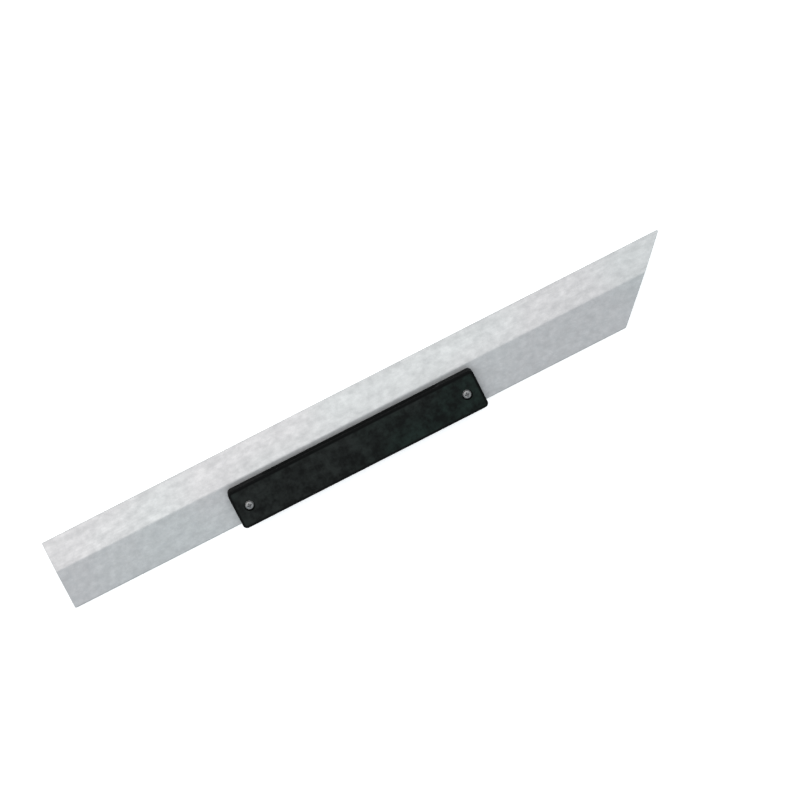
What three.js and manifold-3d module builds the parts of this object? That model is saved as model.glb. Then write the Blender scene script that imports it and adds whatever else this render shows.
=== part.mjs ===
// Magnesium slicker float: a long bevelled blade with one square end and one 45 degree mitre end,
// and a low moulded grip bolted along its spine.
//
// Millimetres, +Z up. The flat working face lies on z = 0. +X runs along the blade from the square
// end to the mitre end, and +Y runs across it from the spine to the thin working edge. The origin is
// on the working face, under the centre of the whole tool.

import * as THREE from "three";
import { mergeVertices } from "three/addons/utils/BufferGeometryUtils.js";
import Module from "manifold-3d";

const wasm = await Module();
wasm.setup();

// ---- Driving dimensions ----

const BLADE_LENGTH = 609.6; // 24 in, along the working edge
const FLAT_WIDTH = 37.1; // spine to crease
const BEVEL_WIDTH = 27.9; // crease to working edge
const SPINE_THICKNESS = 6.35; // 1/4 in
const EDGE_THICKNESS = 1.2;
const SPINE_ROUND = 1.2;
const EDGE_ROUND = 0.4;
const END_CORNER_ROUND = 1.2; // in plan, at the square end and the spine
const TIP_ROUND = 1; // in plan, at the sharp mitre tip

const GRIP_LENGTH = 241.3; // 9 1/2 in
const GRIP_WIDTH = 36.2;
const GRIP_HEIGHT = 20; // above the blade's flat
const GRIP_FROM_SQUARE_END = 166;
const GRIP_CORNER_ROUND = 4; // in plan
const GRIP_SHOULDER_ROUND = 3.2; // along the top edges
const CROWN_RISE = 1.2; // from the shoulders to where the two slopes of the top would meet
const CROWN_ROUND = 180;
const SIDE_WALL = 4.6;
const END_WALL = 4;
const TOP_WALL = 3;
const CAVITY_CORNER_ROUND = 2;
const RIB_THICKNESS = 2;
const RIB_COUNT = 7; // between the two screw bosses
const RIB_PITCH = 26;
const LIP_OVERHANG = 3; // how far the grip stands past the spine
const LIP_CLEARANCE = 0.2;
const LIP_DROP = 3.4; // how far its lip reaches down the spine
const LIP_ROUND = 0.6;
const GROOVE_RADIUS = 10; // finger groove along each long side
const GROOVE_DEPTH = 2;
const GROOVE_LENGTH = 176;
const GROOVE_MID_HEIGHT = 9.4; // above the blade's flat

const SCREW_FROM_GRIP_END = 13.4;
const HEAD_DIAMETER = 7; // M4 cheese head
const HEAD_HEIGHT = 2.6;
const HEAD_DOME = 0.35;
const HEAD_CHAMFER = 0.3;
const SHANK_DIAMETER = 3.9;
const SHANK_LENGTH = 16;
const SHANK_CHAMFER = 0.6;
const WASHER_DIAMETER = 8; // M4 small series
const WASHER_BORE = 4.3;
const WASHER_THICKNESS = 0.5;
const COUNTERBORE_DIAMETER = 9;
const COUNTERBORE_DEPTH = 3.7;
const SCREW_HOLE = 4.5;
const RECESS_SPAN = 4;
const RECESS_WIDTH = 0.95;
const RECESS_DEPTH = 1.7;
const RECESS_TAPER = 0.6; // its floor's size against its mouth's

const BARREL_DIAMETER = 6;
const BARREL_TOP = 16.4; // height above the working face
const BARREL_BORE = 4.1;
const BARREL_BORE_BOTTOM = 5.6;
const BARREL_CHAMFER = 0.4;
const NUT_HEAD_DIAMETER = 9.5;
const NUT_HEAD_INSET = 0.15; // below the working face
const NUT_SLOT_WIDTH = 1.2;
const NUT_SLOT_DEPTH = 0.7;
const BARREL_HOLE = 6.4; // through the blade and up into the grip's boss
const BARREL_HOLE_ROOM = 0.6; // above the barrel's end
const SINK_DIAMETER = 10;
const BOSS_DIAMETER = 13;

// ---- Places worked out from them ----

const BLADE_WIDTH = FLAT_WIDTH + BEVEL_WIDTH;
const SQUARE_END = -BLADE_LENGTH / 2;
const MITRE_TIP = BLADE_LENGTH / 2 + Math.SQRT2 * TIP_ROUND; // where the two edges would meet
const WORKING_EDGE = (BLADE_WIDTH + LIP_OVERHANG) / 2;
const SPINE = WORKING_EDGE - BLADE_WIDTH;
const CREASE = SPINE + FLAT_WIDTH;

const GRIP_MIN_X = SQUARE_END + GRIP_FROM_SQUARE_END;
const GRIP_MAX_X = GRIP_MIN_X + GRIP_LENGTH;
const GRIP_MID_X = (GRIP_MIN_X + GRIP_MAX_X) / 2;
const GRIP_MIN_Y = SPINE - LIP_OVERHANG;
const GRIP_MAX_Y = GRIP_MIN_Y + GRIP_WIDTH;
const GRIP_MID_Y = (GRIP_MIN_Y + GRIP_MAX_Y) / 2;
const GRIP_TOP = SPINE_THICKNESS + GRIP_HEIGHT;
const COUNTERBORE_FLOOR = GRIP_TOP - COUNTERBORE_DEPTH;
const HEAD_SEAT = COUNTERBORE_FLOOR + WASHER_THICKNESS;
const BOLTS = [
  ["square_end", GRIP_MIN_X + SCREW_FROM_GRIP_END],
  ["mitre_end", GRIP_MAX_X - SCREW_FROM_GRIP_END],
];

const CLEAR = 5; // how far a cutting solid runs past what it cuts
const CORNER_STEPS = 3; // a rounded corner is drawn with twice this many straight facets
const ROUND_STEPS = 40;

const X = new THREE.Vector3(1, 0, 0);
const Y = new THREE.Vector3(0, 1, 0);
const Z = new THREE.Vector3(0, 0, 1);

// ---- Solids ----

// A closed geometry as a solid that can be joined and cut.
function solidOf(geometry) {
  const bare = geometry.clone();
  bare.deleteAttribute("normal");
  bare.deleteAttribute("uv");
  const merged = mergeVertices(bare, 1e-4);
  return new wasm.Manifold(
    new wasm.Mesh({
      numProp: 3,
      vertProperties: new Float32Array(merged.attributes.position.array),
      triVerts: new Uint32Array(merged.index.array),
    }),
  );
}

// A solid as a geometry with flat faces.
function geometryOf(solid) {
  const { numProp, vertProperties, triVerts } = solid.getMesh();
  const points = new Float32Array((vertProperties.length / numProp) * 3);
  for (let i = 0; i < points.length / 3; i++) {
    points.set(vertProperties.subarray(i * numProp, i * numProp + 3), i * 3);
  }
  const indexed = new THREE.BufferGeometry()
    .setAttribute("position", new THREE.BufferAttribute(points, 3))
    .setIndex(new THREE.BufferAttribute(triVerts, 1));
  const flat = indexed.toNonIndexed();
  flat.computeVertexNormals();
  return flat;
}

// A closed outline through corners [x, y, radius], listed anticlockwise, each rounded by an arc.
function roundedOutline(corners) {
  const shape = new THREE.Shape();
  const points = corners.map(([x, y]) => new THREE.Vector2(x, y));
  corners.forEach(([x, y, radius = 0], i) => {
    if (radius === 0) {
      if (i === 0) shape.moveTo(x, y);
      else shape.lineTo(x, y);
      return;
    }
    const before = points.at(i - 1).clone().sub(points[i]).normalize();
    const after = points[(i + 1) % points.length].clone().sub(points[i]).normalize();
    const halfAngle = Math.acos(before.dot(after)) / 2;
    const inward = before.clone().add(after).setLength(radius / Math.sin(halfAngle));
    const centre = points[i].clone().add(inward);
    const outward = inward.clone().negate().angle();
    const convex = before.cross(after) < 0;
    const sweep = (Math.PI / 2 - halfAngle) * (convex ? 1 : -1);
    shape.absarc(centre.x, centre.y, radius, outward - sweep, outward + sweep, !convex);
  });
  return shape;
}

function rectangle(minX, minY, maxX, maxY, radius = 0) {
  return roundedOutline([
    [minX, minY, radius],
    [maxX, minY, radius],
    [maxX, maxY, radius],
    [minX, maxY, radius],
  ]);
}

function extruded(shape, depth) {
  const options = { depth, bevelEnabled: false, curveSegments: CORNER_STEPS };
  return new THREE.ExtrudeGeometry(shape, options);
}

// An outline drawn in (x, y), extruded up from one height to another.
function alongZ(shape, from, to) {
  return solidOf(extruded(shape, to - from).translate(0, 0, from));
}

// An outline drawn in (y, z), extruded along X.
function alongX(shape, from, to) {
  const turn = new THREE.Matrix4().makeBasis(Y, Z, X);
  return solidOf(extruded(shape, to - from).applyMatrix4(turn).translate(from, 0, 0));
}

// An outline drawn in (x, z), extruded along Y.
function alongY(shape, from, to) {
  const turn = new THREE.Matrix4().makeBasis(X, Z, Y.clone().negate());
  return solidOf(extruded(shape, to - from).applyMatrix4(turn).translate(0, to, 0));
}

// A profile of [radius, height] turned about the vertical line through (x, y).
function turned(profile, x = 0, y = 0) {
  const points = profile.map(([radius, height]) => new THREE.Vector2(radius, height));
  const lathe = new THREE.LatheGeometry(points, ROUND_STEPS);
  return solidOf(lathe.rotateX(Math.PI / 2).translate(x, y, 0));
}

function cylinder(diameter, from, to, x = 0, y = 0) {
  const radius = diameter / 2;
  return turned([[0, from], [radius, from], [radius, to], [0, to]], x, y);
}

// ---- The blade: an extruded bar cut square at one end and at 45 degrees at the other ----

function bladeSection() {
  return roundedOutline([
    [SPINE, 0, SPINE_ROUND],
    [WORKING_EDGE, 0, EDGE_ROUND],
    [WORKING_EDGE, EDGE_THICKNESS, EDGE_ROUND],
    [CREASE, SPINE_THICKNESS],
    [SPINE, SPINE_THICKNESS, SPINE_ROUND],
  ]);
}

function bladePlan() {
  return roundedOutline([
    [SQUARE_END, SPINE, END_CORNER_ROUND],
    [MITRE_TIP - BLADE_WIDTH, SPINE, END_CORNER_ROUND],
    [MITRE_TIP, WORKING_EDGE, TIP_ROUND],
    [SQUARE_END, WORKING_EDGE, END_CORNER_ROUND],
  ]);
}

// The bolt hole, countersunk from the working face.
function boltHole(x) {
  const sinkDepth = (SINK_DIAMETER - BARREL_HOLE) / 2;
  return turned(
    [
      [0, -1],
      [SINK_DIAMETER / 2, -1],
      [SINK_DIAMETER / 2, 0],
      [BARREL_HOLE / 2, sinkDepth],
      [BARREL_HOLE / 2, SPINE_THICKNESS + CLEAR],
      [0, SPINE_THICKNESS + CLEAR],
    ],
    x,
    GRIP_MID_Y,
  );
}

function blade() {
  let bar = alongX(bladeSection(), SQUARE_END - CLEAR, MITRE_TIP + CLEAR);
  bar = bar.intersect(alongZ(bladePlan(), -CLEAR, SPINE_THICKNESS + CLEAR));
  for (const [, x] of BOLTS) bar = bar.subtract(boltHole(x));
  return bar;
}

// ---- The grip: a ribbed moulding, open underneath, that hooks over the spine ----

function gripSection() {
  const slope = Math.atan(CROWN_RISE / (GRIP_WIDTH / 2));
  const ridge = GRIP_TOP + CROWN_ROUND * (1 / Math.cos(slope) - 1);
  const shoulder = ridge - CROWN_RISE;
  const lipInside = SPINE - LIP_CLEARANCE;
  const lipBottom = SPINE_THICKNESS - LIP_DROP;
  return roundedOutline([
    [GRIP_MIN_Y, lipBottom, LIP_ROUND],
    [lipInside, lipBottom, LIP_ROUND],
    [lipInside, SPINE_THICKNESS],
    [GRIP_MAX_Y, SPINE_THICKNESS],
    [GRIP_MAX_Y, shoulder, GRIP_SHOULDER_ROUND],
    [GRIP_MID_Y, ridge, CROWN_ROUND],
    [GRIP_MIN_Y, shoulder, GRIP_SHOULDER_ROUND],
  ]);
}

function gripOuter() {
  const plan = rectangle(GRIP_MIN_X, GRIP_MIN_Y, GRIP_MAX_X, GRIP_MAX_Y, GRIP_CORNER_ROUND);
  const side = roundedOutline([
    [GRIP_MIN_X, -CLEAR],
    [GRIP_MAX_X, -CLEAR],
    [GRIP_MAX_X, GRIP_TOP, GRIP_SHOULDER_ROUND],
    [GRIP_MIN_X, GRIP_TOP, GRIP_SHOULDER_ROUND],
  ]);
  return alongX(gripSection(), GRIP_MIN_X - CLEAR, GRIP_MAX_X + CLEAR)
    .intersect(alongZ(plan, -CLEAR, GRIP_TOP + CLEAR))
    .intersect(alongY(side, GRIP_MIN_Y - CLEAR, GRIP_MAX_Y + CLEAR));
}

// The finger groove in the long side at y, which faces direction, +1 or -1.
function fingerGroove(y, direction) {
  const straight = GROOVE_LENGTH - 2 * GROOVE_RADIUS;
  const bar = new THREE.CapsuleGeometry(GROOVE_RADIUS, straight, 10, ROUND_STEPS);
  const out = y + direction * (GROOVE_RADIUS - GROOVE_DEPTH);
  const height = SPINE_THICKNESS + GROOVE_MID_HEIGHT;
  return solidOf(bar.rotateZ(Math.PI / 2).translate(GRIP_MID_X, out, height));
}

// The space inside the moulding, less its cross ribs and the two ribbed screw bosses.
function gripCavity() {
  const floor = SPINE_THICKNESS - CLEAR;
  const roof = GRIP_TOP - TOP_WALL;
  const minX = GRIP_MIN_X + END_WALL;
  const maxX = GRIP_MAX_X - END_WALL;
  const minY = GRIP_MIN_Y + SIDE_WALL;
  const maxY = GRIP_MAX_Y - SIDE_WALL;
  let cavity = alongZ(rectangle(minX, minY, maxX, maxY, CAVITY_CORNER_ROUND), floor, roof);
  for (const x of ribPlaces()) {
    const half = RIB_THICKNESS / 2;
    const rib = rectangle(x - half, minY - CLEAR, x + half, maxY + CLEAR);
    cavity = cavity.subtract(alongZ(rib, floor - CLEAR, roof + CLEAR));
  }
  for (const [, x] of BOLTS) {
    const boss = cylinder(BOSS_DIAMETER, floor - CLEAR, roof + CLEAR, x, GRIP_MID_Y);
    cavity = cavity.subtract(boss);
  }
  return cavity;
}

function ribPlaces() {
  const places = BOLTS.map(([, x]) => x);
  for (let i = 0; i < RIB_COUNT; i++) {
    places.push(GRIP_MID_X + (i - (RIB_COUNT - 1) / 2) * RIB_PITCH);
  }
  return places;
}

// The stepped hole down one boss: counterbore, screw hole, and room for the barrel.
function bossHole(x) {
  const top = GRIP_TOP + CLEAR;
  const barrelRoom = BARREL_TOP + BARREL_HOLE_ROOM;
  return turned(
    [
      [0, 0],
      [BARREL_HOLE / 2, 0],
      [BARREL_HOLE / 2, barrelRoom],
      [SCREW_HOLE / 2, barrelRoom],
      [SCREW_HOLE / 2, COUNTERBORE_FLOOR],
      [COUNTERBORE_DIAMETER / 2, COUNTERBORE_FLOOR],
      [COUNTERBORE_DIAMETER / 2, top],
      [0, top],
    ],
    x,
    GRIP_MID_Y,
  );
}

function grip() {
  let body = gripOuter().subtract(gripCavity());
  body = body.subtract(fingerGroove(GRIP_MAX_Y, 1)).subtract(fingerGroove(GRIP_MIN_Y, -1));
  for (const [, x] of BOLTS) body = body.subtract(bossHole(x));
  return body;
}

// ---- The fasteners, each drawn about its own axis with the working face at height 0 ----

// One bar of the cross recess: a square frustum, stretched, that narrows as it goes down. It is as
// tall above the head's top as below it, and has the recess's full size half-way up.
function recessBar(turn) {
  const wide = Math.SQRT1_2 * (2 - RECESS_TAPER);
  const narrow = Math.SQRT1_2 * RECESS_TAPER;
  const bar = new THREE.CylinderGeometry(wide, narrow, 2, 4);
  bar.rotateY(Math.PI / 4).rotateX(Math.PI / 2);
  bar.scale(RECESS_SPAN, RECESS_WIDTH, RECESS_DEPTH);
  return solidOf(bar.rotateZ(turn).translate(0, 0, HEAD_SEAT + HEAD_HEIGHT));
}

function screw() {
  const head = HEAD_DIAMETER / 2;
  const shank = SHANK_DIAMETER / 2;
  const top = HEAD_SEAT + HEAD_HEIGHT;
  const tip = HEAD_SEAT - SHANK_LENGTH;
  const body = turned([
    [0, tip],
    [shank - SHANK_CHAMFER, tip],
    [shank, tip + SHANK_CHAMFER],
    [shank, HEAD_SEAT],
    [head, HEAD_SEAT],
    [head, top - HEAD_DOME - HEAD_CHAMFER],
    [head - HEAD_CHAMFER, top - HEAD_DOME],
    [head * 0.6, top - HEAD_DOME * 0.36],
    [0, top],
  ]);
  return body.subtract(recessBar(0)).subtract(recessBar(Math.PI / 2));
}

function washer() {
  const inner = WASHER_BORE / 2;
  const outer = WASHER_DIAMETER / 2;
  const top = COUNTERBORE_FLOOR + WASHER_THICKNESS;
  return turned([
    [inner, COUNTERBORE_FLOOR],
    [outer, COUNTERBORE_FLOOR],
    [outer, top],
    [inner, top],
    [inner, COUNTERBORE_FLOOR],
  ]);
}

function barrelNut() {
  const head = NUT_HEAD_DIAMETER / 2;
  const barrel = BARREL_DIAMETER / 2;
  const bore = BARREL_BORE / 2;
  const coneTop = NUT_HEAD_INSET + head - barrel;
  const body = turned([
    [0, NUT_HEAD_INSET],
    [head, NUT_HEAD_INSET],
    [barrel, coneTop],
    [barrel, BARREL_TOP - BARREL_CHAMFER],
    [barrel - BARREL_CHAMFER, BARREL_TOP],
    [bore, BARREL_TOP],
    [bore, BARREL_BORE_BOTTOM],
    [0, BARREL_BORE_BOTTOM - bore / 2],
  ]);
  const half = NUT_SLOT_WIDTH / 2;
  const slot = rectangle(-head - 1, -half, head + 1, half);
  return body.subtract(alongZ(slot, -CLEAR, NUT_HEAD_INSET + NUT_SLOT_DEPTH));
}

// ---- The scene ----

const MAGNESIUM = new THREE.MeshStandardMaterial({
  color: 0xc6c9cb,
  roughness: 0.45,
  metalness: 0.9,
});
const BLACK_PLASTIC = new THREE.MeshStandardMaterial({
  color: 0x1f2322,
  roughness: 0.55,
  metalness: 0,
});
const STEEL = new THREE.MeshStandardMaterial({
  color: 0xb9bbbd,
  roughness: 0.3,
  metalness: 1,
});

function mesh(name, solid, material) {
  const made = new THREE.Mesh(geometryOf(solid), material);
  made.name = name;
  return made;
}

function boltSet(place, x) {
  const set = new THREE.Group();
  set.position.set(x, GRIP_MID_Y, 0);
  set.add(mesh(`screw_${place}`, screw(), STEEL));
  set.add(mesh(`washer_${place}`, washer(), STEEL));
  set.add(mesh(`barrel_nut_${place}`, barrelNut(), STEEL));
  return set;
}

const float = new THREE.Group();
float.add(mesh("blade", blade(), MAGNESIUM));
float.add(mesh("grip", grip(), BLACK_PLASTIC));
for (const [place, x] of BOLTS) float.add(boltSet(place, x));

export default float;
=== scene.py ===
# A magnesium slicker float: the visual model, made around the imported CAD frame.
#
# Metres, in the CAD's frame: +X runs along the blade from its square end to its mitred end, +Y
# across it from the spine to the thin working edge, and +Z up out of the blade.

import math

import bmesh
import bpy
from mathutils import Matrix, Vector


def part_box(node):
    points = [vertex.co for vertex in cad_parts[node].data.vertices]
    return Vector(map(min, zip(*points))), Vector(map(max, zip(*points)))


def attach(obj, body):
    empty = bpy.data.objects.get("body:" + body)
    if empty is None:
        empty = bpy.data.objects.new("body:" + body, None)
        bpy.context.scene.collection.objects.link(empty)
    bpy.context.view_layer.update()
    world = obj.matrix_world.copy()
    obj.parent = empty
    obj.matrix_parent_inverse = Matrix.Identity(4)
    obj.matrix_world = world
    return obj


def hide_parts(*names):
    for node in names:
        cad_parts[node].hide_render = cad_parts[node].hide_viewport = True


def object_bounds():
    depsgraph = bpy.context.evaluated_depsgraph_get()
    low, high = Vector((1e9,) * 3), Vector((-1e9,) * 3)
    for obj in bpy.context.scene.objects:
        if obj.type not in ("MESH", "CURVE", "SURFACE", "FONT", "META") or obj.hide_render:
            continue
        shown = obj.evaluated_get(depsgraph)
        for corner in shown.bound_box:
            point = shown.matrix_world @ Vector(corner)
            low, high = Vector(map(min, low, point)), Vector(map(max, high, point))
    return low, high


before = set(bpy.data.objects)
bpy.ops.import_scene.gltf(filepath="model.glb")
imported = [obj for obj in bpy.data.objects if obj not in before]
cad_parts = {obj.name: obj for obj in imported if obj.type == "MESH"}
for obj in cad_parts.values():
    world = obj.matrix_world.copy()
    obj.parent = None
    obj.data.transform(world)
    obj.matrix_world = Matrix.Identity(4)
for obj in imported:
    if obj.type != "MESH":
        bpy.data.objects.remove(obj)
CAD_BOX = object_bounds()

MM = 0.001
BODY = "root"
ENDS = ("square_end", "mitre_end")

# ---- Places from the frame ----

BLADE_LOW, BLADE_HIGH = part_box("blade")
GRIP_LOW, GRIP_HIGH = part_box("grip")
GRIP_MIDDLE = (GRIP_LOW + GRIP_HIGH) / 2
SPINE = BLADE_LOW.y
WORKING_EDGE = BLADE_HIGH.y
BLADE_TOP = BLADE_HIGH.z


def bolt_axis(end):
    """Where a screw's axis stands, as (x, y)."""
    low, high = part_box(f"screw_{end}")
    return (low.xy + high.xy) / 2


# ---- Dimensions that the boxes don't give ----

FLAT_WIDTH = 37.1 * MM
EDGE_THICKNESS = 1.2 * MM
CREASE = SPINE + FLAT_WIDTH
CREASE_SOFTNESS = 0.9 * MM  # half the width over which the extrusion die rounds the crease
TIP_ROUND = 1 * MM  # of the mitred end's sharp corner, in plan
END_CORNER_ROUND = 1.2 * MM  # of the ends' other corners, in plan
SPINE_ROUND = 1.2 * MM
EDGE_ROUND = 0.4 * MM
SAWN_EDGE_ROUND = 0.3 * MM

GRIP_CORNER_ROUND = 4 * MM
GRIP_SHOULDER_ROUND = 3.2 * MM
GRIP_FOOT_ROUND = 0.6 * MM
CROWN_DROP = 0.8 * MM  # from the middle of the grip's top to its long edges
LIP_CLEARANCE = 0.2 * MM
GROOVE_DEPTH = 2 * MM
GROOVE_LENGTH = 176 * MM
GROOVE_HEIGHT = 13 * MM
GROOVE_MIDDLE = BLADE_TOP + 9.4 * MM
SIDE_WALL = 4.6 * MM
END_WALL = 4 * MM
TOP_WALL = 3 * MM
RIB_THICKNESS = 2 * MM
RIB_COUNT = 7
RIB_PITCH = 26 * MM
BOSS_RADIUS = 6.5 * MM
GRIP_CELLS_ALONG = 116
GRIP_CELLS_ACROSS = 22
GRIP_CELLS_UP = 24
GRIP_CORNER_CELLS = 8

SINK_RADIUS = 5 * MM
BARREL_HOLE_RADIUS = 3.2 * MM
BARREL_ROOM = 17 * MM  # height of the barrel's hole above the working face
SCREW_HOLE_RADIUS = 2.25 * MM
COUNTERBORE_RADIUS = 4.5 * MM
COUNTERBORE_RIM = 0.5 * MM

HEAD_OVERHANG = 1.55 * MM  # how far a screw's head stands out past its thread
HEAD_DOME = 0.35 * MM  # from the middle of a head's top down to its rounded corner
HEAD_CORNER_ROUND = 0.3 * MM
THREAD_NECK = 0.6 * MM  # the length without thread at each end of the shank
THREAD_PITCH = 0.7 * MM
THREAD_DEPTH = 0.38 * MM
THREAD_RINGS = 8  # to each turn of the thread
RECESS_SPAN = 4.1 * MM
RECESS_WIDTH = 1 * MM
RECESS_DEPTH = 1.7 * MM
WASHER_BAND = 1.85 * MM  # from a washer's hole to its rim
WASHER_ROUND = 0.12 * MM
NUT_BARREL_RADIUS = 3 * MM
NUT_BORE_RADIUS = 2.05 * MM
NUT_BORE_END = 5.6 * MM  # height of the bore's blind end above the working face
NUT_CHAMFER = 0.4 * MM
NUT_HEAD_LAND = 0.15 * MM
NUT_SLOT_WIDTH = 1.2 * MM
NUT_SLOT_DEPTH = 0.7 * MM

PAST = 5 * MM  # how far a cutting solid runs past what it cuts
WELD = 0.002 * MM  # after a cut, points closer than this become one
ON_LEVEL = 1e-7  # metres; a point this near a level lies on it

# ---- The view and the light ----

VIEW_TILT = math.radians(10)  # from straight above, towards the working edge
VIEW_SLOPE = math.radians(27)  # how steeply the blade climbs across the picture
VIEW_SPAN = 1.1602  # lengths of the tool across the picture
VIEW_CENTRE = (0.0563, 0.0041)  # lengths from the tool's middle to the picture's, in X and in Y
LENS = 150

FLOOR_RADIUS = 12  # metres, far past the view's edges
FLOOR_COLOUR = (0.93, 0.93, 0.93)
FLOOR_GLOW = 0.4  # the floor is a lit table top, so that hardly any shadow is left on it
SKY_COLOUR = (0.95, 1.01, 1.05)
SKY_OVERHEAD = 0.97  # its radiance
SKY_HORIZON = 0.45
SKY_FADE = (0.15, 0.8)  # sines of the heights between which it brightens
SOFTBOX_COLOUR = (1.05, 0.985, 0.945)
SOFTBOX_STRENGTH = 1.19  # its radiance
SOFTBOX_SIZE = (1.9, 1.3)
SOFTBOX_PLACE = (-0.42, 0.75, 1.5)


# ---- Meshes ----


def mesh_from(bm, name):
    bmesh.ops.recalc_face_normals(bm, faces=bm.faces)
    mesh = bpy.data.meshes.new(name)
    bm.to_mesh(mesh)
    bm.free()
    return mesh


def skin(bm, rings, closed_ends=True):
    """Joins closed rings of points with faces, one ring to the next. Returns the rings' vertices."""
    made = [[bm.verts.new(point) for point in ring] for ring in rings]
    for low, high in zip(made, made[1:]):
        for i in range(len(low)):
            j = (i + 1) % len(low)
            bm.faces.new((low[i], low[j], high[j], high[i]))
    if closed_ends:
        bm.faces.new(made[0])
        bm.faces.new(made[-1])
    return made


def turned(name, profile, steps=64, centre=(0, 0), radius_at=None):
    """A solid of revolution about the vertical line through centre, from a profile of
    (radius, height). Two points on the axis close it; without them the profile is a loop.
    radius_at(radius, height, turn), if given, changes the radius, as for a thread."""
    bm = bmesh.new()
    rings = []
    for radius, height in profile:
        if radius == 0:
            rings.append([bm.verts.new((*centre, height))])
            continue
        ring = []
        for i in range(steps):
            turn = 2 * math.pi * i / steps
            r = radius_at(radius, height, turn) if radius_at else radius
            x = centre[0] + r * math.cos(turn)
            y = centre[1] + r * math.sin(turn)
            ring.append(bm.verts.new((x, y, height)))
        rings.append(ring)
    if profile[0][0] > 0:
        rings.append(rings[0])
    for low, high in zip(rings, rings[1:]):
        for i in range(steps):
            j = (i + 1) % steps
            corners = (low[i % len(low)], low[j % len(low)], high[j % len(high)], high[i % len(high)])
            bm.faces.new(tuple(dict.fromkeys(corners)))
    return mesh_from(bm, name)


def arc(centre, radius, start, end, steps=6):
    """Points on an arc of a (radius, height) profile, between two angles in degrees."""
    points = []
    for i in range(steps + 1):
        angle = math.radians(start + (end - start) * i / steps)
        points.append((centre[0] + radius * math.cos(angle), centre[1] + radius * math.sin(angle)))
    return points


def box_mesh(name, low, high):
    bm = bmesh.new()
    corners = [(low[0], low[1]), (high[0], low[1]), (high[0], high[1]), (low[0], high[1])]
    skin(bm, [[(x, y, z) for x, y in corners] for z in (low[2], high[2])])
    return mesh_from(bm, name)


def cut(mesh, *tools):
    """The mesh less each of the tool meshes."""
    for tool in tools:
        target = bpy.data.objects.new("target", mesh)
        knife = bpy.data.objects.new("knife", tool)
        for made in (target, knife):
            bpy.context.scene.collection.objects.link(made)
        boolean = target.modifiers.new("cut", "BOOLEAN")
        boolean.operation = "DIFFERENCE"
        boolean.solver = "EXACT"
        boolean.object = knife
        depsgraph = bpy.context.evaluated_depsgraph_get()
        mesh = bpy.data.meshes.new_from_object(target.evaluated_get(depsgraph))
        for made in (target, knife):
            bpy.data.objects.remove(made)
    weld(mesh)
    return mesh


def weld(mesh):
    """Joins the points that cuts leave almost on top of each other."""
    bm = bmesh.new()
    bm.from_mesh(mesh)
    bmesh.ops.remove_doubles(bm, verts=bm.verts, dist=WELD)
    bm.to_mesh(mesh)
    bm.free()


def smooth(mesh, angle=35):
    """Smooth shading, apart from edges sharper than an angle in degrees."""
    mesh.shade_smooth()
    mesh.set_sharp_from_angle(angle=math.radians(angle))


def place(name, mesh, material, node, flat_faces=False):
    """Puts a finished piece in the scene, on the body, in place of its CAD node. With flat_faces,
    its large faces are shaded flat right up to their rounded edges."""
    mesh.name = name
    mesh.materials.clear()
    mesh.materials.append(material)
    piece = bpy.data.objects.new(name, mesh)
    bpy.context.scene.collection.objects.link(piece)
    if flat_faces:
        weighted = piece.modifiers.new("weighted_normals", "WEIGHTED_NORMAL")
        weighted.keep_sharp = True
    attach(piece, BODY)
    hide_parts(node)
    return piece


# ---- Blade ----


def blade_thickness(y):
    """The extrusion's height above the working face, with its crease slightly rounded."""
    slope = (BLADE_TOP - EDGE_THICKNESS) / (WORKING_EDGE - CREASE)
    past = y - CREASE
    if past <= -CREASE_SOFTNESS:
        return BLADE_TOP
    if past >= CREASE_SOFTNESS:
        return BLADE_TOP - slope * past
    return BLADE_TOP - slope * (past + CREASE_SOFTNESS) ** 2 / (4 * CREASE_SOFTNESS)


def rounded_outline(corners, steps=6):
    """Points round a convex outline of (x, y, radius) corners, listed anticlockwise. Each comes
    with its inset, the way it moves when the outline shrinks."""
    outline = []
    for i, (x, y, radius) in enumerate(corners):
        here = Vector((x, y))
        before = (Vector(corners[i - 1][:2]) - here).normalized()
        after = (Vector(corners[(i + 1) % len(corners)][:2]) - here).normalized()
        half = before.angle(after) / 2
        inward = (before + after).normalized()
        centre = here + inward * (radius / math.sin(half))
        for k in range(steps + 1):
            turn = (math.pi / 2 - half) * (2 * k / steps - 1)
            inset = Matrix.Rotation(turn, 2) @ inward
            outline.append((centre - inset * radius, inset))
    return outline


def split_across(outline, y):
    """Adds a point wherever the outline crosses y. Its inset runs along X, so it stays on y."""
    made = []
    for i, (point, inset) in enumerate(outline):
        made.append((point, inset))
        after = outline[(i + 1) % len(outline)][0]
        if (point.y - y) * (after.y - y) < 0:
            share = (y - point.y) / (after.y - point.y)
            made.append((point.lerp(after, share), Vector((1 / inset.x, 0))))
    return made


def rim_round(point):
    """The radius of the blade's upper and lower edges at a point of its outline. The spine's
    round gives way to the sawn ends' smaller one along the corner between them."""
    if point.y < SPINE + END_CORNER_ROUND:
        share = (point.y - SPINE) / END_CORNER_ROUND
        return SPINE_ROUND + (SAWN_EDGE_ROUND - SPINE_ROUND) * share
    if point.y > WORKING_EDGE - TIP_ROUND / 4:
        return EDGE_ROUND
    return SAWN_EDGE_ROUND


def blade_rings(outline, steps=5):
    """Rings up the blade's side: round the lower edge, up the wall and round the upper edge."""
    rings = []
    quarter = [math.pi / 2 * i / steps for i in range(steps + 1)]
    for angle in quarter:
        ring = []
        for point, inset in outline:
            radius = rim_round(point)
            at = point + inset * radius * (1 - math.sin(angle))
            ring.append((*at, radius * (1 - math.cos(angle))))
        rings.append(ring)
    for angle in quarter:
        ring = []
        for point, inset in outline:
            radius = rim_round(point)
            at = point + inset * radius * (1 - math.cos(angle))
            ring.append((*at, blade_thickness(at.y) - radius * (1 - math.sin(angle))))
        rings.append(ring)
    return rings


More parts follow.
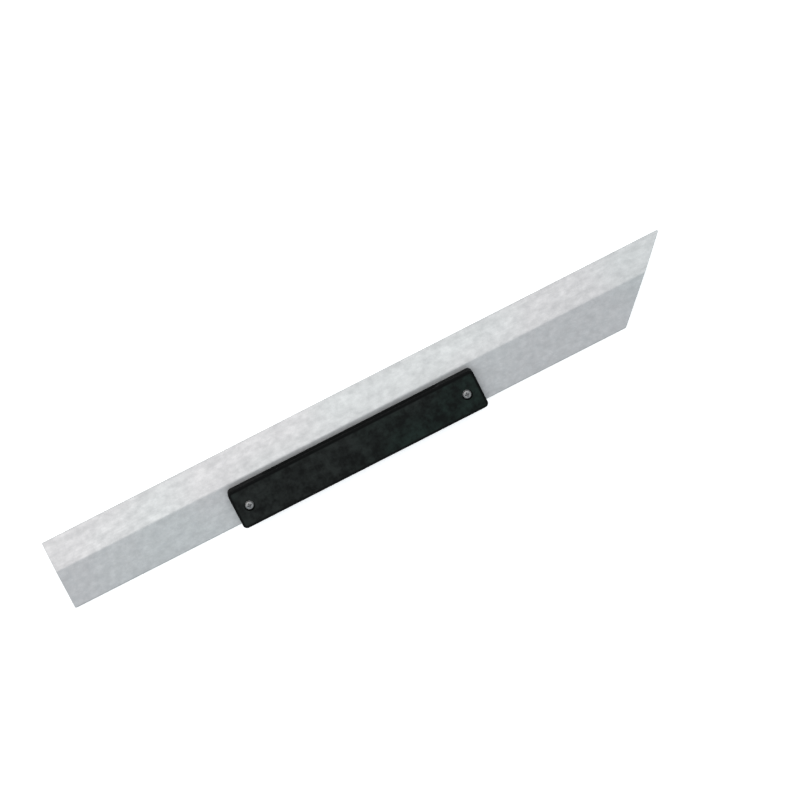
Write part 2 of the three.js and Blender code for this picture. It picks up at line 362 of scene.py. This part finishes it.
def blade_mesh():
    width = WORKING_EDGE - SPINE
    square = BLADE_LOW.x
    tip = BLADE_HIGH.x + math.sqrt(2) * TIP_ROUND  # where the mitre's corner would be, not rounded
    outline = rounded_outline(
        [
            (square, SPINE, END_CORNER_ROUND),
            (tip - width, SPINE, END_CORNER_ROUND),
            (tip, WORKING_EDGE, TIP_ROUND),
            (square, WORKING_EDGE, END_CORNER_ROUND),
        ]
    )
    levels = [CREASE + CREASE_SOFTNESS * share for share in (-1, -0.5, 0, 0.5, 1)]
    for y in levels:
        outline = split_across(outline, y)
    bm = bmesh.new()
    made = skin(bm, blade_rings(outline))
    for y in levels:
        pair = [v for v in made[-1] if abs(v.co.y - y) < ON_LEVEL]
        bmesh.ops.connect_verts(bm, verts=pair)
    mesh = mesh_from(bm, "blade")
    return cut(mesh, *[bolt_hole(bolt_axis(end)) for end in ENDS])


def bolt_hole(centre):
    """The hole through the blade, countersunk from the working face."""
    sink_depth = SINK_RADIUS - BARREL_HOLE_RADIUS
    profile = [
        (0, -PAST),
        (SINK_RADIUS + PAST, -PAST),
        (BARREL_HOLE_RADIUS, sink_depth),
        (BARREL_HOLE_RADIUS, BLADE_TOP + PAST),
        (0, BLADE_TOP + PAST),
    ]
    return turned("bolt_hole", profile, centre=centre)


# ---- Grip ----


def crown(y):
    """The height of the grip's top across its width."""
    share = (y - GRIP_MIDDLE.y) / (GRIP_HIGH.y - GRIP_MIDDLE.y)
    return GRIP_HIGH.z - CROWN_DROP * share * share


def groove(x, z):
    """How deep the finger groove is at a point of the grip's long side: a soft-edged trough."""
    past = max(0, abs(x - GRIP_MIDDLE.x) - (GROOVE_LENGTH - GROOVE_HEIGHT) / 2)
    away = math.hypot(past, z - GROOVE_MIDDLE) / (GROOVE_HEIGHT / 2)
    return GROOVE_DEPTH * (1 - away * away) ** 2 if away < 1 else 0


def grip_outline():
    """Points and insets round the grip in plan: each side's stations, then the next corner's arc."""
    radius, steps = GRIP_CORNER_ROUND, GRIP_CORNER_CELLS
    low = Vector((GRIP_LOW.x + radius, GRIP_LOW.y + radius))
    high = Vector((GRIP_HIGH.x - radius, GRIP_HIGH.y - radius))
    corners = [Vector((low.x, low.y)), Vector((high.x, low.y)), high, Vector((low.x, high.y))]
    outline = []
    for side in range(4):
        cells = GRIP_CELLS_ACROSS if side % 2 else GRIP_CELLS_ALONG
        start, end = corners[side], corners[(side + 1) % 4]
        inset = Matrix.Rotation(math.pi / 2 * side, 2) @ Vector((0, 1))
        for i in range(cells + 1):
            outline.append((start.lerp(end, i / cells) - inset * radius, inset))
        for k in range(1, steps):
            turned_inset = Matrix.Rotation(math.pi / 2 * k / steps, 2) @ inset
            outline.append((end - turned_inset * radius, turned_inset))
    return outline


def grip_rings(outline, foot_steps=4, shoulder_steps=8):
    """Rings up the grip's side: round its foot, up its grooved wall and round its shoulder. The
    groove fades out round the corners."""
    rings = []
    foot = GRIP_FOOT_ROUND
    for k in range(foot_steps):
        angle = math.pi / 2 * k / foot_steps
        at = foot * (1 - math.sin(angle))
        height = GRIP_LOW.z + foot * (1 - math.cos(angle))
        rings.append([(*(point + inset * at), height) for point, inset in outline])
    for k in range(GRIP_CELLS_UP):
        ring = []
        for point, inset in outline:
            top = crown(point.y) - GRIP_SHOULDER_ROUND
            z = GRIP_LOW.z + foot + (top - GRIP_LOW.z - foot) * k / GRIP_CELLS_UP
            depth = groove(point.x, z) * abs(inset.y) ** 8
            ring.append((*(point + inset * depth), z))
        rings.append(ring)
    for k in range(shoulder_steps + 1):
        angle = math.pi / 2 * k / shoulder_steps
        ring = []
        for point, inset in outline:
            at = point + inset * GRIP_SHOULDER_ROUND * (1 - math.cos(angle))
            ring.append((*at, crown(at.y) - GRIP_SHOULDER_ROUND * (1 - math.sin(angle))))
        rings.append(ring)
    return rings


def close_grip_top(bm, ring):
    """Fills the last ring with a grid that follows the crown, strips round it and corner fans."""
    along, across = GRIP_CELLS_ALONG, GRIP_CELLS_ACROSS
    radius = GRIP_CORNER_ROUND
    low, high = GRIP_LOW, GRIP_HIGH
    grid = []
    for k in range(across + 1):
        y = low.y + radius + (high.y - low.y - 2 * radius) * k / across
        row = []
        for i in range(along + 1):
            x = low.x + radius + (high.x - low.x - 2 * radius) * i / along
            row.append(bm.verts.new((x, y, crown(y))))
        grid.append(row)
    for lower, upper in zip(grid, grid[1:]):
        for i in range(along):
            bm.faces.new((lower[i], lower[i + 1], upper[i + 1], upper[i]))
    sides = [
        grid[0],
        [row[-1] for row in grid],
        grid[-1][::-1],
        [row[0] for row in grid][::-1],
    ]
    at = 0
    for side in sides:
        for i in range(len(side) - 1):
            bm.faces.new((ring[at + i], ring[at + i + 1], side[i + 1], side[i]))
        at += len(side) - 1
        for _ in range(GRIP_CORNER_CELLS):
            bm.faces.new((ring[at], ring[(at + 1) % len(ring)], side[-1]))
            at += 1


def grip_cavity():
    """The space inside the moulding, less its cross ribs and the two ribbed screw bosses."""
    floor = BLADE_TOP - PAST
    low = (GRIP_LOW.x + END_WALL, GRIP_LOW.y + SIDE_WALL, floor)
    high = (GRIP_HIGH.x - END_WALL, GRIP_HIGH.y - SIDE_WALL, GRIP_HIGH.z - TOP_WALL)
    cavity = box_mesh("cavity", low, high)
    ribs = [bolt_axis(end).x for end in ENDS]
    ribs += [GRIP_MIDDLE.x + (i - (RIB_COUNT - 1) / 2) * RIB_PITCH for i in range(RIB_COUNT)]
    for x in ribs:
        half = RIB_THICKNESS / 2
        rib_low = (x - half, low[1] - PAST, floor - PAST)
        rib_high = (x + half, high[1] + PAST, high[2] + PAST)
        cavity = cut(cavity, box_mesh("rib", rib_low, rib_high))
    bottom, top = floor - PAST, high[2] + PAST
    boss = [(0, bottom), (BOSS_RADIUS, bottom), (BOSS_RADIUS, top), (0, top)]
    return cut(cavity, *[turned("boss", boss, centre=bolt_axis(end)) for end in ENDS])


def boss_hole(end):
    """The stepped hole down one boss, with a rolled rim at the top of its counterbore."""
    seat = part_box(f"washer_{end}")[0].z
    centre = bolt_axis(end)
    top = crown(centre.y)
    rim = COUNTERBORE_RADIUS + COUNTERBORE_RIM
    profile = [
        (0, 0),
        (BARREL_HOLE_RADIUS, 0),
        (BARREL_HOLE_RADIUS, BARREL_ROOM),
        (SCREW_HOLE_RADIUS, BARREL_ROOM),
        (SCREW_HOLE_RADIUS, seat),
        (COUNTERBORE_RADIUS, seat),
        *arc((rim, top - COUNTERBORE_RIM), COUNTERBORE_RIM, 180, 90),
        (rim, top + PAST),
        (0, top + PAST),
    ]
    return turned("boss_hole", profile, centre=centre)


def grip_mesh():
    bm = bmesh.new()
    made = skin(bm, grip_rings(grip_outline()), closed_ends=False)
    bm.faces.new(made[0])
    close_grip_top(bm, made[-1])
    mesh = mesh_from(bm, "grip")
    seat_low = (GRIP_LOW.x - PAST, SPINE - LIP_CLEARANCE, -PAST)
    seat_high = (GRIP_HIGH.x + PAST, GRIP_HIGH.y + PAST, BLADE_TOP)
    seat = box_mesh("seat", seat_low, seat_high)
    return cut(mesh, seat, grip_cavity(), *[boss_hole(end) for end in ENDS])


# ---- Fasteners ----


def cross_recess(centre, top):
    """The cross recess's space: a four-winged star that narrows on its way down to a point. It
    starts oversize above the head, and is the recess's own size at the head's top."""
    bm = bmesh.new()
    span, width = RECESS_SPAN / 2, RECESS_WIDTH / 2
    wing = [(span, -width), (span, width), (width, width)]
    rings = []
    for height, scale in ((RECESS_DEPTH, 1.6), (-0.85 * RECESS_DEPTH, 0.5)):
        ring = []
        for quarter in range(4):
            turn = Matrix.Rotation(math.pi / 2 * quarter, 2)
            for x, y in wing:
                at = turn @ Vector((x, y)) * scale
                ring.append((centre[0] + at.x, centre[1] + at.y, top + height))
        rings.append(ring)
    made = skin(bm, rings, closed_ends=False)
    bm.faces.new(made[0])
    point = bm.verts.new((*centre, top - RECESS_DEPTH))
    for i in range(len(made[1])):
        bm.faces.new((made[1][i], made[1][(i + 1) % len(made[1])], point))
    return mesh_from(bm, "recess")


def screw_mesh(end):
    """A cheese head screw: domed head, cross recess and a rolled thread."""
    low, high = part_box(f"screw_{end}")
    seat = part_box(f"washer_{end}")[1].z
    head = (high.x - low.x) / 2
    centre = bolt_axis(end)
    dome, corner, neck = HEAD_DOME, HEAD_CORNER_ROUND, THREAD_NECK
    shank = head - HEAD_OVERHANG
    profile = [(0, low.z), (shank - neck, low.z), (shank - neck / 2, low.z + neck / 2)]
    thread_start, thread_end = low.z + neck, seat - neck
    cells = round((thread_end - thread_start) / THREAD_PITCH * THREAD_RINGS)
    for i in range(cells + 1):
        profile.append((shank, thread_start + (thread_end - thread_start) * i / cells))
    profile += [
        (shank - THREAD_DEPTH / 2, seat - neck / 2),
        (shank - THREAD_DEPTH / 2, seat),
        (head - corner / 2, seat),
        (head, seat + corner / 2),
        *arc((head - corner, high.z - dome - corner), corner, 0, 75),
        # The dome falls with about the square of the radius.
        (head * 0.75, high.z - dome * 0.56),
        (head * 0.5, high.z - dome * 0.25),
        (head * 0.25, high.z - dome * 0.06),
        (0, high.z),
    ]

    def thread(radius, height, turn):
        if not thread_start <= height <= thread_end:
            return radius
        phase = (height / THREAD_PITCH - turn / (2 * math.pi)) % 1
        fade = min(1, (height - thread_start) / THREAD_PITCH, (thread_end - height) / THREAD_PITCH)
        return radius - THREAD_DEPTH * abs(2 * phase - 1) * max(0, fade)

    mesh = turned("screw", profile, centre=centre, radius_at=thread)
    return cut(mesh, cross_recess(centre, high.z))


def washer_mesh(end):
    low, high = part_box(f"washer_{end}")
    outer = (high.x - low.x) / 2
    inner = outer - WASHER_BAND
    corner = WASHER_ROUND
    profile = [
        (inner, low.z + corner),
        (inner + corner, low.z),
        (outer - corner, low.z),
        (outer, low.z + corner),
        *arc((outer - corner, high.z - corner), corner, 0, 90, 3),
        *arc((inner + corner, high.z - corner), corner, 90, 180, 3),
    ]
    return turned("washer", profile, centre=bolt_axis(end))


def barrel_nut_mesh(end):
    """A sleeve nut: a slotted countersunk head, a barrel and a blind bore, left plain."""
    low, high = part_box(f"barrel_nut_{end}")
    head = (high.y - low.y) / 2
    barrel, bore, corner, land = NUT_BARREL_RADIUS, NUT_BORE_RADIUS, NUT_CHAMFER, NUT_HEAD_LAND
    cone_top = low.z + land + head - barrel
    profile = [
        (0, low.z),
        (head - land, low.z),
        (head, low.z + land),
        (barrel, cone_top),
        (barrel, high.z - corner),
        (barrel - corner, high.z),
        (bore + corner / 2, high.z),
        (bore, high.z - corner / 2),
        (bore, NUT_BORE_END),
        (0, NUT_BORE_END - bore / 2),
    ]
    centre = bolt_axis(end)
    mesh = turned("barrel_nut", profile, centre=centre)
    half = NUT_SLOT_WIDTH / 2
    slot_low = (centre.x - head - PAST, centre.y - half, low.z - PAST)
    slot_high = (centre.x + head + PAST, centre.y + half, low.z + NUT_SLOT_DEPTH)
    return cut(mesh, box_mesh("slot", slot_low, slot_high))


# ---- Materials ----

COOL_METAL, COOL_OXIDE = (0.527, 0.541, 0.541), (0.399, 0.411, 0.412)
WARM_METAL, WARM_OXIDE = (0.541, 0.536, 0.540), (0.411, 0.407, 0.412)
RUBBED_METAL = (0.66, 0.66, 0.66)
# Patchy residue on the flat that is also painted shade: the flat darker and bluer than the bevel.
FLAT_RESIDUE_AND_SHADE = (0.36, 0.375, 0.385)
EDGE_RESIDUE = (0.36, 0.36, 0.36)
DIE_LINE = (0.41, 0.41, 0.41)
DARK_SPECK = (0.32, 0.32, 0.32)

BLACK_PLASTIC = (0.0015, 0.0019, 0.0018)
PLASTIC_GRAIN = (0.002, 0.0025, 0.0024)
# Dust and painted light on the grip's upward faces: the top is painted lighter than its shaded sides.
GREY_DUST_AND_LIT_TOP, GREEN_DUST_AND_LIT_TOP = (0.0195, 0.0230, 0.0214), (0.0130, 0.0235, 0.0196)

COOL_ZINC, WARM_ZINC = (0.20, 0.204, 0.208), (0.25, 0.246, 0.24)
DARK_ZINC = (0.13, 0.13, 0.13)


class Shader:
    """A material's node tree, with short calls for adding and joining nodes."""

    def __init__(self, name):
        self.material = bpy.data.materials.new(name)
        self.material.use_nodes = True
        self.tree = self.material.node_tree
        self.tree.nodes.clear()
        self.place = self.add("TexCoord").outputs["Object"]

    def add(self, kind, inputs=None, **settings):
        node = self.tree.nodes.new("ShaderNode" + kind)
        for key, value in settings.items():
            setattr(node, key, value)
        for socket, value in (inputs or {}).items():
            if isinstance(value, bpy.types.NodeSocket):
                self.tree.links.new(value, node.inputs[socket])
            else:
                node.inputs[socket].default_value = value
        return node

    def noise(self, scale, stretch=(1, 1, 1), detail=3, roughness=0.5, turn=0):
        """Noise of about scale cells a metre, turned about Z by some degrees and then stretched
        along each axis."""
        mapping = self.add(
            "Mapping",
            {
                "Vector": self.place,
                "Rotation": (0, 0, math.radians(turn)),
            },
        )
        squeezed = self.add(
            "VectorMath",
            {0: mapping.outputs[0], 1: [1 / s for s in stretch]},
            operation="MULTIPLY",
        )
        made = self.add(
            "TexNoise",
            {"Vector": squeezed.outputs[0], "Scale": scale, "Detail": detail, "Roughness": roughness},
        )
        return made.outputs["Fac"]

    def spread(self, value, from_low, from_high, to_low=0.0, to_high=1.0):
        """Maps a value from one range to another, and holds it there."""
        made = self.add(
            "MapRange",
            {
                "Value": value,
                "From Min": from_low,
                "From Max": from_high,
                "To Min": to_low,
                "To Max": to_high,
            },
        )
        return made.outputs[0]

    def along(self, axis):
        """The place along one axis."""
        return self.add("SeparateXYZ", {0: self.place}).outputs["xyz".index(axis)]

    def upward(self):
        """How squarely the surface faces up, 1 on a level top."""
        normal = self.add("NewGeometry").outputs["Normal"]
        return self.add("SeparateXYZ", {0: normal}).outputs[2]

    def scratches(self, turns):
        """Short hair scratches, a scattered set at each of the angles."""
        made = None
        for turn in turns:
            strokes = self.spread(self.noise(2600, stretch=(52, 1, 1), detail=0, turn=turn), 0.72, 0.8)
            thinned = self.spread(self.noise(45, detail=2, turn=turn), 0.55, 0.66)
            marks = self.combine("MULTIPLY", strokes, thinned)
            made = marks if made is None else self.combine("MAXIMUM", made, marks)
        return made

    def combine(self, operation, first, second):
        return self.add("Math", {0: first, 1: second}, operation=operation).outputs[0]

    def mix(self, share, first, second):
        """A colour between two colours."""
        made = self.add("Mix", {"Factor": share}, data_type="RGBA")
        for name, value in (("A_Color", first), ("B_Color", second)):
            socket = next(s for s in made.inputs if s.identifier == name)
            if isinstance(value, bpy.types.NodeSocket):
                self.tree.links.new(value, socket)
            else:
                socket.default_value = (*value, 1)
        return next(s for s in made.outputs if s.identifier == "Result_Color")

    def bump(self, height, distance, strength=1.0, under=None):
        inputs = {"Height": height, "Distance": distance, "Strength": strength}
        if under is not None:
            inputs["Normal"] = under
        return self.add("Bump", inputs).outputs[0]

    def finish(self, **inputs):
        surface = self.add("BsdfPrincipled", {k.replace("_", " "): v for k, v in inputs.items()})
        output = self.add("OutputMaterial")
        self.tree.links.new(surface.outputs[0], output.inputs[0])
        return self.material


def magnesium():
    """Mill-finish magnesium: fine die lines, a mottled dull oxide, a thin film of dried residue on the
    flat and near the working edge, hair scratches, and an edge rubbed bright. The film on the flat is
    also painted shade, darker and bluer than the bevel."""
    s = Shader("extruded_magnesium")
    die_lines = s.noise(900, stretch=(340, 1, 1), detail=4, roughness=0.7)
    wide_lines = s.noise(95, stretch=(40, 1, 1), detail=2)
    mottle = s.noise(170, stretch=(1.5, 1, 1), detail=4, roughness=0.65)
    clouds = s.noise(20, stretch=(2.5, 1, 1), detail=2)
    speckle = s.noise(1300, detail=2)
    tint = s.spread(s.noise(8, detail=1), 0.42, 0.58)
    scratches = s.scratches((11, -23, 52, 83))
    oxide = s.combine("ADD", s.spread(mottle, 0.32, 0.68, 0, 0.8), s.spread(clouds, 0.3, 0.7, 0, 0.2))
    cool = s.mix(oxide, COOL_METAL, COOL_OXIDE)
    warm = s.mix(oxide, WARM_METAL, WARM_OXIDE)
    colour = s.mix(tint, cool, warm)
    # Patchy dried residue on the flat, and painted shade: the flat is painted darker and bluer than
    # the bevel, which faces the light.
    on_flat = s.spread(s.along("y"), CREASE - 2 * MM, CREASE + 1 * MM, 1, 0)
    residue_and_shade = s.spread(s.noise(150, detail=4, roughness=0.7), 0.44, 0.66, 0, 0.4)
    colour = s.mix(s.combine("MULTIPLY", on_flat, residue_and_shade), colour, FLAT_RESIDUE_AND_SHADE)
    near_edge = s.spread(s.along("y"), WORKING_EDGE - 7 * MM, WORKING_EDGE - 1 * MM, 0, 0.14)
    colour = s.mix(near_edge, colour, EDGE_RESIDUE)
    fine_share = s.spread(die_lines, 0.4, 0.6, 0, 0.6)
    wide_share = s.spread(wide_lines, 0.4, 0.6, 0, 0.4)
    lines = s.combine("ADD", fine_share, wide_share)
    colour = s.mix(s.combine("MULTIPLY", lines, 0.3), colour, DIE_LINE)
    colour = s.mix(s.spread(speckle, 0.45, 0.75, 0, 0.2), colour, DARK_SPECK)
    rubbed = s.spread(s.along("y"), WORKING_EDGE - 0.5 * MM, WORKING_EDGE, 0, 0.3)
    bright = s.combine("MAXIMUM", rubbed, s.combine("MULTIPLY", scratches, 0.2))
    colour = s.mix(bright, colour, RUBBED_METAL)
    dullness = s.combine("ADD", oxide, s.combine("MULTIPLY", lines, 0.4))
    roughness = s.spread(dullness, 0.1, 1.2, 0.38, 0.45)
    normal = s.bump(die_lines, 0.05 * MM, 0.8)
    normal = s.bump(wide_lines, 0.04 * MM, 0.3, normal)
    normal = s.bump(speckle, 0.02 * MM, 0.4, normal)
    normal = s.bump(scratches, -0.015 * MM, 0.6, normal)
    return s.finish(Base_Color=colour, Metallic=1.0, Roughness=roughness, Normal=normal)


def black_plastic():
    """Moulded black plastic with a leathery grain. Its upward faces carry a thin grey haze, partly
    dust and partly painted light that makes the top lighter than its shaded shoulders and walls.
    """
    s = Shader("black_moulded_plastic")
    voronoi = s.add("TexVoronoi", {"Vector": s.place, "Scale": 1300, "Randomness": 1.0})
    cells = voronoi.outputs["Distance"]
    fine = s.noise(2600, detail=2)
    patches = s.noise(95, detail=5, roughness=0.7)
    tint = s.spread(s.noise(13, detail=1), 0.42, 0.58)
    # The haze on upward faces is partly dust and partly painted light: it paints the top lighter than
    # the shoulders and walls that turn away from the light.
    facing = s.spread(s.upward(), 0.9, 0.997)
    dust_and_lit_top = s.combine("MULTIPLY", facing, s.spread(patches, 0.38, 0.62, 0.1, 1.0))
    colour = s.mix(dust_and_lit_top, BLACK_PLASTIC, s.mix(tint, GREY_DUST_AND_LIT_TOP, GREEN_DUST_AND_LIT_TOP))
    grain = s.spread(cells, 0.0, 0.5, 0.0, 0.25)
    colour = s.mix(grain, colour, PLASTIC_GRAIN)
    rough = s.spread(patches, 0.3, 0.7, 0.7, 0.82)
    roughness = s.combine("SUBTRACT", rough, s.combine("MULTIPLY", facing, 0.2))
    normal = s.bump(cells, 0.08 * MM, 0.6)
    normal = s.bump(fine, 0.03 * MM, 0.4, normal)
    return s.finish(
        Base_Color=colour, Metallic=0.0, Roughness=roughness, Normal=normal, Specular_IOR_Level=0.08
    )


def zinc_plate():
    """Zinc plate on turned steel, unevenly tinted and dulled by use."""
    s = Shader("dulled_zinc_plate")
    patches = s.noise(500, detail=3)
    fine = s.noise(5000, detail=2)
    colour = s.mix(s.spread(patches, 0.35, 0.65), COOL_ZINC, WARM_ZINC)
    colour = s.mix(s.spread(fine, 0.5, 0.8, 0, 0.3), colour, DARK_ZINC)
    roughness = s.spread(fine, 0.3, 0.7, 0.3, 0.42)
    normal = s.bump(fine, 0.01 * MM, 0.3)
    return s.finish(Base_Color=colour, Metallic=1.0, Roughness=roughness, Normal=normal)


# ---- The float ----


def build_float():
    metal = magnesium()
    plastic = black_plastic()
    plate = zinc_plate()
    blade = blade_mesh()
    smooth(blade)
    place("blade_extrusion", blade, metal, "blade", flat_faces=True)
    grip = grip_mesh()
    smooth(grip)
    place("grip_moulding", grip, plastic, "grip", flat_faces=True)
    makers = {"screw": screw_mesh, "washer": washer_mesh, "barrel_nut": barrel_nut_mesh}
    for end in ENDS:
        for kind, maker in makers.items():
            mesh = maker(end)
            smooth(mesh)
            place(f"{kind}_{end}_plated", mesh, plate, f"{kind}_{end}")


# ---- Stage ----


def build_floor():
    bm = bmesh.new()
    bmesh.ops.create_circle(bm, cap_ends=True, segments=96, radius=FLOOR_RADIUS)
    floor = bpy.data.objects.new("floor", mesh_from(bm, "floor"))
    bpy.context.scene.collection.objects.link(floor)
    s = Shader("pale_lit_floor")
    material = s.finish(
        Base_Color=(*FLOOR_COLOUR, 1),
        Roughness=0.9,
        Specular_IOR_Level=0.0,
        Emission_Color=(1, 1, 1, 1),
        Emission_Strength=FLOOR_GLOW,
    )
    floor.data.materials.append(material)


def build_light():
    world = bpy.data.worlds.new("studio")
    world.use_nodes = True
    tree = world.node_tree
    direction = tree.nodes.new("ShaderNodeTexCoord")
    height = tree.nodes.new("ShaderNodeSeparateXYZ")
    fade = tree.nodes.new("ShaderNodeMapRange")
    fade.interpolation_type = "SMOOTHSTEP"
    for socket, value in zip(fade.inputs[1:5], (*SKY_FADE, SKY_HORIZON, SKY_OVERHEAD)):
        socket.default_value = value
    background = tree.nodes["Background"]
    background.inputs["Color"].default_value = (*SKY_COLOUR, 1)
    tree.links.new(direction.outputs["Generated"], height.inputs[0])
    tree.links.new(height.outputs[2], fade.inputs[0])
    tree.links.new(fade.outputs[0], background.inputs["Strength"])
    bpy.context.scene.world = world
    lamp = bpy.data.lights.new("softbox", "AREA")
    lamp.shape = "RECTANGLE"
    lamp.size, lamp.size_y = SOFTBOX_SIZE
    lamp.color = SOFTBOX_COLOUR
    lamp.energy = SOFTBOX_STRENGTH * math.pi * lamp.size * lamp.size_y
    softbox = bpy.data.objects.new("softbox", lamp)
    softbox.location = SOFTBOX_PLACE
    bpy.context.scene.collection.objects.link(softbox)
    bpy.context.scene.view_settings.view_transform = "Standard"


def build_camera():
    """A long lens almost straight above, turned so that the blade climbs to the right."""
    low, high = CAD_BOX
    length = high.x - low.x
    back = Vector((0, math.sin(VIEW_TILT), math.cos(VIEW_TILT)))
    across = Vector((0, math.cos(VIEW_TILT), -math.sin(VIEW_TILT)))
    along = Vector((1, 0, 0))
    right = along * math.cos(VIEW_SLOPE) - across * math.sin(VIEW_SLOPE)
    up = along * math.sin(VIEW_SLOPE) + across * math.cos(VIEW_SLOPE)
    camera = bpy.data.objects.new("camera", bpy.data.cameras.new("camera"))
    camera.data.lens = LENS
    half_view = camera.data.sensor_width / 2 / LENS
    distance = VIEW_SPAN * length / 2 / half_view
    aim = Vector(((low.x + high.x) / 2 + VIEW_CENTRE[0] * length, VIEW_CENTRE[1] * length, 0))
    turn = Matrix((right, up, back)).transposed().to_4x4()
    camera.matrix_world = Matrix.Translation(aim + back * distance) @ turn
    bpy.context.scene.collection.objects.link(camera)
    bpy.context.scene.camera = camera


build_camera()
build_light()
build_floor()
build_float()
